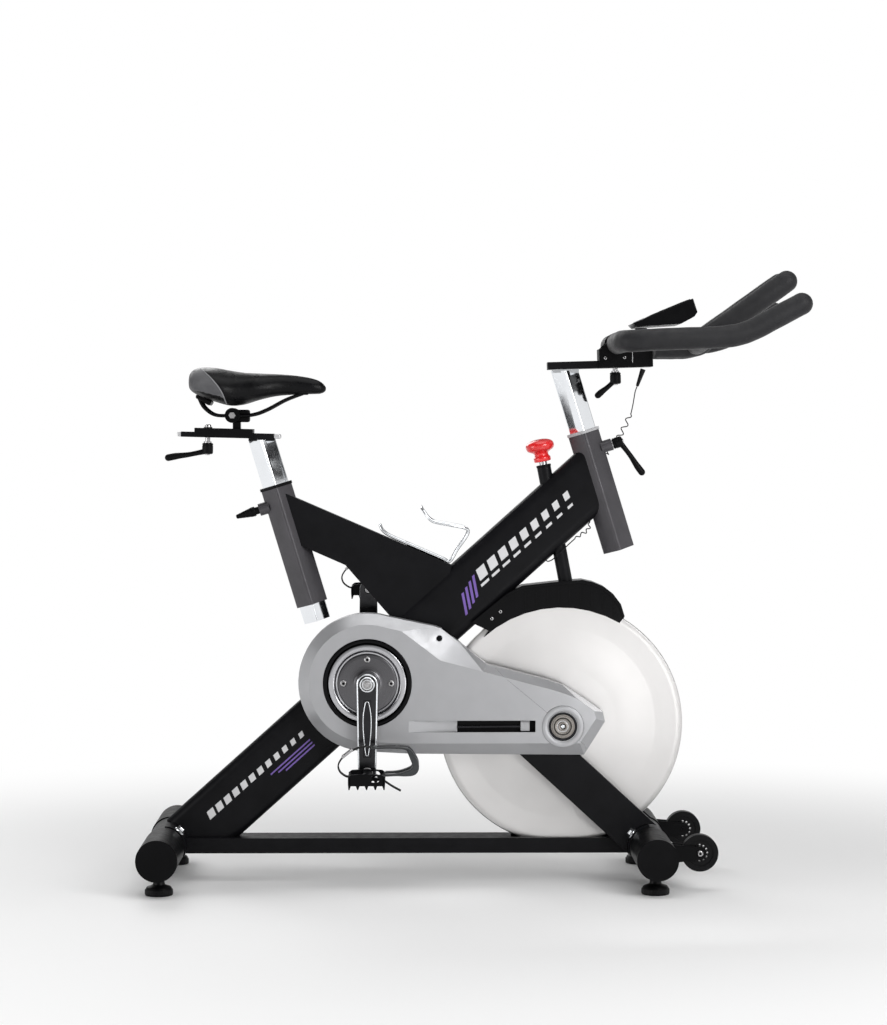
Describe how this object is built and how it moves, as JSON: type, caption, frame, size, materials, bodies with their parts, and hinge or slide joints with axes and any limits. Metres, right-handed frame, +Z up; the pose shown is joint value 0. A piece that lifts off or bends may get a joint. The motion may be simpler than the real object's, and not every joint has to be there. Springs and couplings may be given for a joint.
{
  "type": "exercise bike",
  "caption": "Indoor cycling bike: belt-driven flywheel, adjustable saddle and handlebar posts, toe-cage pedals, push brake, levelling feet and transport wheels.",
  "frame": {"origin": "centre of the bounding box's base, on the floor", "axes": "+X forward, the way the rider faces; +Y to the rider's left; +Z up; the drive side is -Y"},
  "size_m": [1.303, 0.52, 1.2154],
  "materials": {
    "frame_black": "satin black powder coat",
    "sleeve_grey": "satin dark grey powder coat",
    "cover_silver": "silver lacquered ABS, satin",
    "black_plastic": "fine moulded texture",
    "gloss_black": "glossy moulded ABS",
    "bush_grey": "moulded nylon",
    "chrome": "polished chrome plate",
    "steel": "zinc plated and turned steel",
    "flywheel_chrome": "polished and chromed flywheel",
    "crank_alloy": "polished crank arm",
    "belt_rubber": "ribbed drive belt",
    "foam_grip": "dipped black PVC foam",
    "saddle_vinyl": "stretched vinyl over foam",
    "red_knob": "glossy red ABS",
    "brake_felt": "pressed wool felt on a steel shoe",
    "cord_black": "satin PVC sleeve",
    "wheel_black": "hard polyurethane"
  },
  "bodies": {
    "frame": {"main_beam": "frame_black", "seat_arm": "frame_black", "front_fork": "frame_black", "seat_sleeve": "sleeve_grey", "head_sleeve": "sleeve_grey", "sleeve_bushes": "bush_grey", "base_rail": "frame_black", "stabilizers": "frame_black", "stabilizer_end_sleeves": "black_plastic", "stabilizer_bolts": "steel", "bottom_bracket_shell": "frame_black", "crank_bearings": "steel", "drive_cover": "cover_silver", "drive_cover_end": "cover_silver", "cover_ring": "gloss_black", "inner_cover": "black_plastic", "flywheel_axle": "steel", "drive_belt": "belt_rubber", "brake_guide_tube": "frame_black", "brake_shroud": "gloss_black", "bottle_cage": "chrome", "console_cord": "cord_black", "sensor_cord": "cord_black"},
    "crank": {"crank_spindle": "steel", "crank_arm_right": "crank_alloy", "crank_arm_left": "crank_alloy", "crank_bolts": "steel", "drive_pulley": "black_plastic", "chainring_dish": "chrome", "pedal_axles": "steel"},
    "flywheel": {"flywheel": "flywheel_chrome", "flywheel_hub": "steel", "flywheel_bearings": "steel"},
    "pedal_right": {"pedal_right": "black_plastic", "toe_cage_right": "black_plastic"},
    "pedal_left": {"pedal_left": "black_plastic", "toe_cage_left": "black_plastic"},
    "seat_post": {"seat_post": "chrome"},
    "seat_carriage": {"seat_carriage": "black_plastic"},
    "seat_lever": {"seat_lever": "black_plastic"},
    "saddle": {"saddle": "saddle_vinyl", "saddle_rails": "frame_black"},
    "handlebar_post": {"handlebar_post": "chrome", "console_plug": "cord_black"},
    "handlebar": {"handlebar_carriage": "frame_black", "handlebar": "foam_grip", "console": "gloss_black"},
    "handlebar_lever": {"handlebar_lever": "black_plastic"},
    "console_button": {"console_button": "red_knob"},
    "head_lever": {"head_lever": "black_plastic"},
    "seat_pin": {"seat_pin": "black_plastic"},
    "brake_rod": {"brake_rod": "steel", "brake_pad": "brake_felt"},
    "brake_knob": {"brake_knob": "red_knob"},
    "transport_wheel_right": {"transport_wheel_right": "wheel_black"},
    "transport_wheel_left": {"transport_wheel_left": "wheel_black"},
    "foot_rear_right": {"foot_rear_right": "black_plastic"},
    "foot_rear_left": {"foot_rear_left": "black_plastic"},
    "foot_front_right": {"foot_front_right": "black_plastic"},
    "foot_front_left": {"foot_front_left": "black_plastic"}
  },
  "joints": [
    {"name": "flywheel_spin", "type": "hinge", "parent": "frame", "child": "flywheel", "pos_m": [0.1775, 0, 0.314], "axis": [0, 1, 0], "continuous": true},
    {"name": "crank_spin", "type": "hinge", "parent": "frame", "child": "crank", "pos_m": [-0.209, 0, 0.4], "axis": [0, 1, 0], "continuous": true},
    {"name": "pedal_right_spin", "type": "hinge", "parent": "crank", "child": "pedal_right", "pos_m": [-0.209, -0.167, 0.225], "axis": [0, 1, 0], "continuous": true},
    {"name": "pedal_left_spin", "type": "hinge", "parent": "crank", "child": "pedal_left", "pos_m": [-0.209, 0.167, 0.575], "axis": [0, 1, 0], "continuous": true},
    {"name": "seat_post_slide", "type": "slide", "parent": "frame", "child": "seat_post", "axis": [-0.2924, 0, 0.9563], "range_m": [-0.015, 0.16]},
    {"name": "seat_fore_aft", "type": "slide", "parent": "seat_post", "child": "seat_carriage", "axis": [0.9997, 0, -0.0244], "range_m": [-0.026, 0.042]},
    {"name": "saddle_tilt", "type": "hinge", "parent": "seat_carriage", "child": "saddle", "pos_m": [-0.478, 0, 0.929], "axis": [0, 1, 0], "range_deg": [-10, 10]},
    {"name": "seat_lever_turn", "type": "hinge", "parent": "seat_carriage", "child": "seat_lever", "pos_m": [-0.52866, 0, 0.86299], "axis": [0.0244, 0, 0.9997], "range_deg": [-75, 75]},
    {"name": "handlebar_post_slide", "type": "slide", "parent": "frame", "child": "handlebar_post", "axis": [-0.2924, 0, 0.9563], "range_m": [-0.05, 0.1], "deforming": ["console_cord"]},
    {"name": "handlebar_fore_aft", "type": "slide", "parent": "handlebar_post", "child": "handlebar", "axis": [0.9996, 0, 0.0291], "range_m": [-0.012, 0.045]},
    {"name": "handlebar_lever_turn", "type": "hinge", "parent": "handlebar", "child": "handlebar_lever", "pos_m": [0.2863, 0, 1.0035], "axis": [-0.0291, 0, 0.9996], "range_deg": [0, 150]},
    {"name": "console_button_press", "type": "slide", "parent": "handlebar", "child": "console_button", "axis": [0.3827, 0, -0.9239], "range_m": [0, 0.001], "stiffness_N_per_m": 500, "springref_m": -0.001},
    {"name": "head_lever_turn", "type": "hinge", "parent": "frame", "child": "head_lever", "pos_m": [0.2909, 0, 0.87516], "axis": [-0.9563, 0, -0.2924], "range_deg": [0, 120]},
    {"name": "seat_pin_pull", "type": "slide", "parent": "frame", "child": "seat_pin", "axis": [-0.9563, 0, -0.2924], "range_m": [0, 0.01], "stiffness_N_per_m": 800, "springref_m": -0.01},
    {"name": "brake_push", "type": "slide", "parent": "frame", "child": "brake_rod", "axis": [0.1874, 0, -0.9823], "range_m": [0, 0.006], "stiffness_N_per_m": 2000, "springref_m": -0.01},
    {"name": "brake_turn", "type": "hinge", "parent": "brake_rod", "child": "brake_knob", "pos_m": [0.1425, 0, 0.83], "axis": [-0.1874, 0, 0.9823], "range_deg": [-720, 720]},
    {"name": "transport_wheel_right_spin", "type": "hinge", "parent": "frame", "child": "transport_wheel_right", "pos_m": [0.4395, -0.17, 0.0765], "axis": [0, 1, 0], "continuous": true},
    {"name": "transport_wheel_left_spin", "type": "hinge", "parent": "frame", "child": "transport_wheel_left", "pos_m": [0.4395, 0.17, 0.0765], "axis": [0, 1, 0], "continuous": true},
    {"name": "foot_rear_right_level", "type": "hinge", "parent": "frame", "child": "foot_rear_right", "pos_m": [-0.611, -0.2, 0.03], "axis": [0, 0, 1], "range_deg": [-360, 360]},
    {"name": "foot_rear_left_level", "type": "hinge", "parent": "frame", "child": "foot_rear_left", "pos_m": [-0.611, 0.2, 0.03], "axis": [0, 0, 1], "range_deg": [-360, 360]},
    {"name": "foot_front_right_level", "type": "hinge", "parent": "frame", "child": "foot_front_right", "pos_m": [0.351, -0.2, 0.03], "axis": [0, 0, 1], "range_deg": [-360, 360]},
    {"name": "foot_front_left_level", "type": "hinge", "parent": "frame", "child": "foot_front_left", "pos_m": [0.351, 0.2, 0.03], "axis": [0, 0, 1], "range_deg": [-360, 360]}
  ],
  "couplings": [
    {"joint": "crank_spin", "follows": "flywheel_spin", "ratio": 0.30769}
  ]
}
